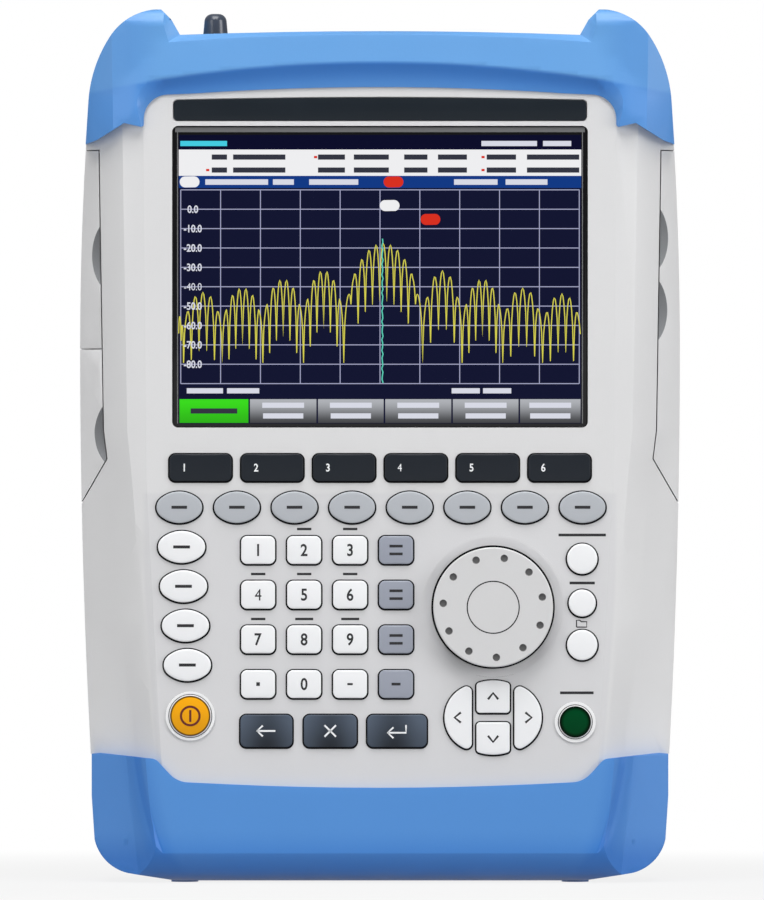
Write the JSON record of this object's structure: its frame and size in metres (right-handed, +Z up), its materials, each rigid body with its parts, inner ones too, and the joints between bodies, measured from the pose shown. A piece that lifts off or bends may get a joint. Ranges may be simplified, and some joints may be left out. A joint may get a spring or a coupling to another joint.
{
  "type": "handheld spectrum analyzer",
  "caption": "Handheld spectrum analyzer: grey faceted case with blue end bumpers, upright screen, keypad, rotary knob, side port doors, battery lid, fold-out stand and top jacks.",
  "frame": {"origin": "centre of the bounding box at its lowest level, where the bottom bumper's feet stand", "axes": "+X to the user's right, +Y from the keypad face to the back, +Z up along the height"},
  "size_m": [0.2006, 0.069, 0.2913],
  "materials": {
    "grey_case": "fine matte",
    "blue_bumper": "satin soft plastic",
    "screen_glass": "glossy",
    "board": "satin",
    "battery_case": "matte",
    "knob_plastic": "satin",
    "screw_steel": "satin",
    "jack_metal": "polished",
    "slate_key": "satin",
    "grey_key": "satin",
    "unit_key": "satin",
    "white_key": "satin",
    "orange_key": "satin",
    "green_key": "glossy"
  },
  "bodies": {
    "case": {"front_housing": "grey_case", "rear_housing": "grey_case", "top_bumper": "blue_bumper", "bottom_bumper": "blue_bumper", "display_module": "screen_glass", "circuit_boards": "board", "battery_pack": "battery_case", "housing_screws": "screw_steel", "top_connectors": "jack_metal"},
    "upper_door": {"upper_port_door": "grey_case"},
    "lower_door": {"lower_port_door": "grey_case"},
    "lid": {"battery_lid": "grey_case"},
    "stand": {"kickstand": "grey_case"},
    "knob": {"rotary_knob": "knob_plastic"},
    "softkey_1_button": {"softkey_1": "slate_key"},
    "softkey_2_button": {"softkey_2": "slate_key"},
    "softkey_3_button": {"softkey_3": "slate_key"},
    "softkey_4_button": {"softkey_4": "slate_key"},
    "softkey_5_button": {"softkey_5": "slate_key"},
    "softkey_6_button": {"softkey_6": "slate_key"},
    "key_bandwidth_button": {"key_bandwidth": "grey_key"},
    "key_sweep_button": {"key_sweep": "grey_key"},
    "key_trace_button": {"key_trace": "grey_key"},
    "key_lines_button": {"key_lines": "grey_key"},
    "key_mode_button": {"key_mode": "grey_key"},
    "key_measure_button": {"key_measure": "grey_key"},
    "key_marker_button": {"key_marker": "grey_key"},
    "key_marker_to_button": {"key_marker_to": "grey_key"},
    "key_frequency_button": {"key_frequency": "white_key"},
    "key_span_button": {"key_span": "white_key"},
    "key_amplitude_button": {"key_amplitude": "white_key"},
    "key_user_button": {"key_user": "white_key"},
    "key_1_button": {"key_1": "white_key"},
    "key_2_button": {"key_2": "white_key"},
    "key_3_button": {"key_3": "white_key"},
    "key_ghz_button": {"key_ghz": "unit_key"},
    "key_4_button": {"key_4": "white_key"},
    "key_5_button": {"key_5": "white_key"},
    "key_6_button": {"key_6": "white_key"},
    "key_mhz_button": {"key_mhz": "unit_key"},
    "key_7_button": {"key_7": "white_key"},
    "key_8_button": {"key_8": "white_key"},
    "key_9_button": {"key_9": "white_key"},
    "key_khz_button": {"key_khz": "unit_key"},
    "key_0_button": {"key_0": "white_key"},
    "key_point_button": {"key_point": "white_key"},
    "key_sign_button": {"key_sign": "white_key"},
    "key_hz_button": {"key_hz": "unit_key"},
    "key_back_button": {"key_back": "slate_key"},
    "key_cancel_button": {"key_cancel": "slate_key"},
    "key_enter_button": {"key_enter": "slate_key"},
    "power_button": {"power_key": "orange_key"},
    "preset_button": {"preset_key": "green_key"},
    "key_save_recall_button": {"key_save_recall": "white_key"},
    "key_setup_button": {"key_setup": "white_key"},
    "key_folder_button": {"key_folder": "white_key"},
    "cursor_up_button": {"cursor_up": "white_key"},
    "cursor_down_button": {"cursor_down": "white_key"},
    "cursor_right_button": {"cursor_right": "white_key"},
    "cursor_left_button": {"cursor_left": "white_key"}
  },
  "joints": [
    {"name": "upper_door_hinge", "type": "hinge", "parent": "case", "child": "upper_door", "pos_m": [-0.0983, 0.0094, 0.17823], "axis": [-0.0291, 0, -0.9996], "range_deg": [0, 90]},
    {"name": "lower_door_hinge", "type": "hinge", "parent": "case", "child": "lower_door", "pos_m": [-0.09786, 0.0094, 0.13092], "axis": [0.0093, 0, -1], "range_deg": [0, 90]},
    {"name": "stand_hinge", "type": "hinge", "parent": "case", "child": "stand", "pos_m": [0, 0.0285, 0.20064], "axis": [1, 0, 0], "range_deg": [0, 55]},
    {"name": "lid_lift_off", "type": "slide", "parent": "case", "child": "lid", "axis": [1, 0, 0], "range_m": [0, 0.03]},
    {"name": "knob_spin", "type": "hinge", "parent": "case", "child": "knob", "pos_m": [0.03769, -0.0345, 0.09196], "axis": [0, 1, 0], "continuous": true},
    {"name": "softkey_1_press", "type": "slide", "parent": "case", "child": "softkey_1_button", "axis": [0, 1, 0], "range_m": [0, 0.0008], "stiffness_N_per_m": 1500},
    {"name": "softkey_2_press", "type": "slide", "parent": "case", "child": "softkey_2_button", "axis": [0, 1, 0], "range_m": [0, 0.0008], "stiffness_N_per_m": 1500},
    {"name": "softkey_3_press", "type": "slide", "parent": "case", "child": "softkey_3_button", "axis": [0, 1, 0], "range_m": [0, 0.0008], "stiffness_N_per_m": 1500},
    {"name": "softkey_4_press", "type": "slide", "parent": "case", "child": "softkey_4_button", "axis": [0, 1, 0], "range_m": [0, 0.0008], "stiffness_N_per_m": 1500},
    {"name": "softkey_5_press", "type": "slide", "parent": "case", "child": "softkey_5_button", "axis": [0, 1, 0], "range_m": [0, 0.0008], "stiffness_N_per_m": 1500},
    {"name": "softkey_6_press", "type": "slide", "parent": "case", "child": "softkey_6_button", "axis": [0, 1, 0], "range_m": [0, 0.0008], "stiffness_N_per_m": 1500},
    {"name": "key_bandwidth_press", "type": "slide", "parent": "case", "child": "key_bandwidth_button", "axis": [0, 1, 0], "range_m": [0, 0.0008], "stiffness_N_per_m": 1500},
    {"name": "key_sweep_press", "type": "slide", "parent": "case", "child": "key_sweep_button", "axis": [0, 1, 0], "range_m": [0, 0.0008], "stiffness_N_per_m": 1500},
    {"name": "key_trace_press", "type": "slide", "parent": "case", "child": "key_trace_button", "axis": [0, 1, 0], "range_m": [0, 0.0008], "stiffness_N_per_m": 1500},
    {"name": "key_lines_press", "type": "slide", "parent": "case", "child": "key_lines_button", "axis": [0, 1, 0], "range_m": [0, 0.0008], "stiffness_N_per_m": 1500},
    {"name": "key_mode_press", "type": "slide", "parent": "case", "child": "key_mode_button", "axis": [0, 1, 0], "range_m": [0, 0.0008], "stiffness_N_per_m": 1500},
    {"name": "key_measure_press", "type": "slide", "parent": "case", "child": "key_measure_button", "axis": [0, 1, 0], "range_m": [0, 0.0008], "stiffness_N_per_m": 1500},
    {"name": "key_marker_press", "type": "slide", "parent": "case", "child": "key_marker_button", "axis": [0, 1, 0], "range_m": [0, 0.0008], "stiffness_N_per_m": 1500},
    {"name": "key_marker_to_press", "type": "slide", "parent": "case", "child": "key_marker_to_button", "axis": [0, 1, 0], "range_m": [0, 0.0008], "stiffness_N_per_m": 1500},
    {"name": "key_frequency_press", "type": "slide", "parent": "case", "child": "key_frequency_button", "axis": [0, 1, 0], "range_m": [0, 0.0008], "stiffness_N_per_m": 1500},
    {"name": "key_span_press", "type": "slide", "parent": "case", "child": "key_span_button", "axis": [0, 1, 0], "range_m": [0, 0.0008], "stiffness_N_per_m": 1500},
    {"name": "key_amplitude_press", "type": "slide", "parent": "case", "child": "key_amplitude_button", "axis": [0, 1, 0], "range_m": [0, 0.0008], "stiffness_N_per_m": 1500},
    {"name": "key_user_press", "type": "slide", "parent": "case", "child": "key_user_button", "axis": [0, 1, 0], "range_m": [0, 0.0008], "stiffness_N_per_m": 1500},
    {"name": "key_1_press", "type": "slide", "parent": "case", "child": "key_1_button", "axis": [0, 1, 0], "range_m": [0, 0.0008], "stiffness_N_per_m": 1500},
    {"name": "key_2_press", "type": "slide", "parent": "case", "child": "key_2_button", "axis": [0, 1, 0], "range_m": [0, 0.0008], "stiffness_N_per_m": 1500},
    {"name": "key_3_press", "type": "slide", "parent": "case", "child": "key_3_button", "axis": [0, 1, 0], "range_m": [0, 0.0008], "stiffness_N_per_m": 1500},
    {"name": "key_ghz_press", "type": "slide", "parent": "case", "child": "key_ghz_button", "axis": [0, 1, 0], "range_m": [0, 0.0008], "stiffness_N_per_m": 1500},
    {"name": "key_4_press", "type": "slide", "parent": "case", "child": "key_4_button", "axis": [0, 1, 0], "range_m": [0, 0.0008], "stiffness_N_per_m": 1500},
    {"name": "key_5_press", "type": "slide", "parent": "case", "child": "key_5_button", "axis": [0, 1, 0], "range_m": [0, 0.0008], "stiffness_N_per_m": 1500},
    {"name": "key_6_press", "type": "slide", "parent": "case", "child": "key_6_button", "axis": [0, 1, 0], "range_m": [0, 0.0008], "stiffness_N_per_m": 1500},
    {"name": "key_mhz_press", "type": "slide", "parent": "case", "child": "key_mhz_button", "axis": [0, 1, 0], "range_m": [0, 0.0008], "stiffness_N_per_m": 1500},
    {"name": "key_7_press", "type": "slide", "parent": "case", "child": "key_7_button", "axis": [0, 1, 0], "range_m": [0, 0.0008], "stiffness_N_per_m": 1500},
    {"name": "key_8_press", "type": "slide", "parent": "case", "child": "key_8_button", "axis": [0, 1, 0], "range_m": [0, 0.0008], "stiffness_N_per_m": 1500},
    {"name": "key_9_press", "type": "slide", "parent": "case", "child": "key_9_button", "axis": [0, 1, 0], "range_m": [0, 0.0008], "stiffness_N_per_m": 1500},
    {"name": "key_khz_press", "type": "slide", "parent": "case", "child": "key_khz_button", "axis": [0, 1, 0], "range_m": [0, 0.0008], "stiffness_N_per_m": 1500},
    {"name": "key_0_press", "type": "slide", "parent": "case", "child": "key_0_button", "axis": [0, 1, 0], "range_m": [0, 0.0008], "stiffness_N_per_m": 1500},
    {"name": "key_point_press", "type": "slide", "parent": "case", "child": "key_point_button", "axis": [0, 1, 0], "range_m": [0, 0.0008], "stiffness_N_per_m": 1500},
    {"name": "key_sign_press", "type": "slide", "parent": "case", "child": "key_sign_button", "axis": [0, 1, 0], "range_m": [0, 0.0008], "stiffness_N_per_m": 1500},
    {"name": "key_hz_press", "type": "slide", "parent": "case", "child": "key_hz_button", "axis": [0, 1, 0], "range_m": [0, 0.0008], "stiffness_N_per_m": 1500},
    {"name": "key_back_press", "type": "slide", "parent": "case", "child": "key_back_button", "axis": [0, 1, 0], "range_m": [0, 0.0008], "stiffness_N_per_m": 1500},
    {"name": "key_cancel_press", "type": "slide", "parent": "case", "child": "key_cancel_button", "axis": [0, 1, 0], "range_m": [0, 0.0008], "stiffness_N_per_m": 1500},
    {"name": "key_enter_press", "type": "slide", "parent": "case", "child": "key_enter_button", "axis": [0, 1, 0], "range_m": [0, 0.0008], "stiffness_N_per_m": 1500},
    {"name": "power_key_press", "type": "slide", "parent": "case", "child": "power_button", "axis": [0, 1, 0], "range_m": [0, 0.0008], "stiffness_N_per_m": 1500},
    {"name": "preset_key_press", "type": "slide", "parent": "case", "child": "preset_button", "axis": [0, 1, 0], "range_m": [0, 0.0008], "stiffness_N_per_m": 1500},
    {"name": "key_save_recall_press", "type": "slide", "parent": "case", "child": "key_save_recall_button", "axis": [0, 1, 0], "range_m": [0, 0.0008], "stiffness_N_per_m": 1500},
    {"name": "key_setup_press", "type": "slide", "parent": "case", "child": "key_setup_button", "axis": [0, 1, 0], "range_m": [0, 0.0008], "stiffness_N_per_m": 1500},
    {"name": "key_folder_press", "type": "slide", "parent": "case", "child": "key_folder_button", "axis": [0, 1, 0], "range_m": [0, 0.0008], "stiffness_N_per_m": 1500},
    {"name": "cursor_up_press", "type": "slide", "parent": "case", "child": "cursor_up_button", "axis": [0, 1, 0], "range_m": [0, 0.0008], "stiffness_N_per_m": 1500},
    {"name": "cursor_down_press", "type": "slide", "parent": "case", "child": "cursor_down_button", "axis": [0, 1, 0], "range_m": [0, 0.0008], "stiffness_N_per_m": 1500},
    {"name": "cursor_right_press", "type": "slide", "parent": "case", "child": "cursor_right_button", "axis": [0, 1, 0], "range_m": [0, 0.0008], "stiffness_N_per_m": 1500},
    {"name": "cursor_left_press", "type": "slide", "parent": "case", "child": "cursor_left_button", "axis": [0, 1, 0], "range_m": [0, 0.0008], "stiffness_N_per_m": 1500}
  ]
}
